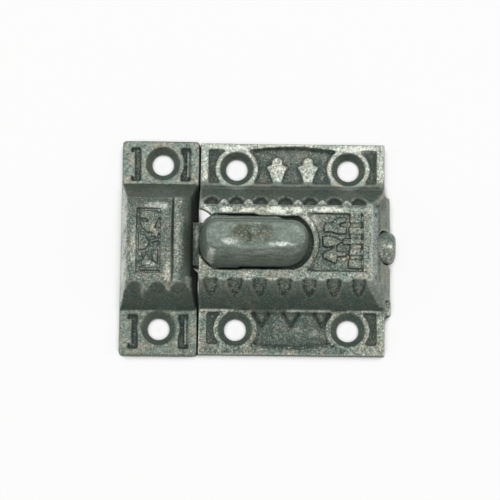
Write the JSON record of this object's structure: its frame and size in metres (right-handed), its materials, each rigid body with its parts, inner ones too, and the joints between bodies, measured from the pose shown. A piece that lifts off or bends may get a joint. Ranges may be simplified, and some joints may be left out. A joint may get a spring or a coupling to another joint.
{
  "type": "cupboard catch",
  "caption": "Cast-iron cupboard catch: hollow latch with a sprung slide bolt, thumb knob and relief ornament, and a matching keeper.",
  "frame": {"origin": "centre of the latch's four screw holes, on the back face that meets the wood", "axes": "+X along the bolt towards its tail, +Y up the door, +Z out of the door"},
  "size_m": [0.0658, 0.0524, 0.0196],
  "materials": {
    "case_iron": "sand-cast, high points worn bright",
    "bolt_iron": "hand-worn smooth, browned",
    "keeper_iron": "sand-cast, high points worn bright",
    "spring_steel": "drawn wire",
    "strap_steel": "rolled sheet, dull"
  },
  "bodies": {
    "latch": {"latch_case": "case_iron", "back_strap": "strap_steel", "bolt_spring": "spring_steel", "keeper": "keeper_iron"},
    "bolt": {"slide_bolt": "bolt_iron"}
  },
  "joints": [
    {"name": "bolt_slide", "type": "slide", "parent": "latch", "child": "bolt", "axis": [1, 0, 0], "range_m": [0, 0.0042], "stiffness_N_per_m": 400, "springref_m": -0.004, "deforming": ["bolt_spring"]}
  ]
}
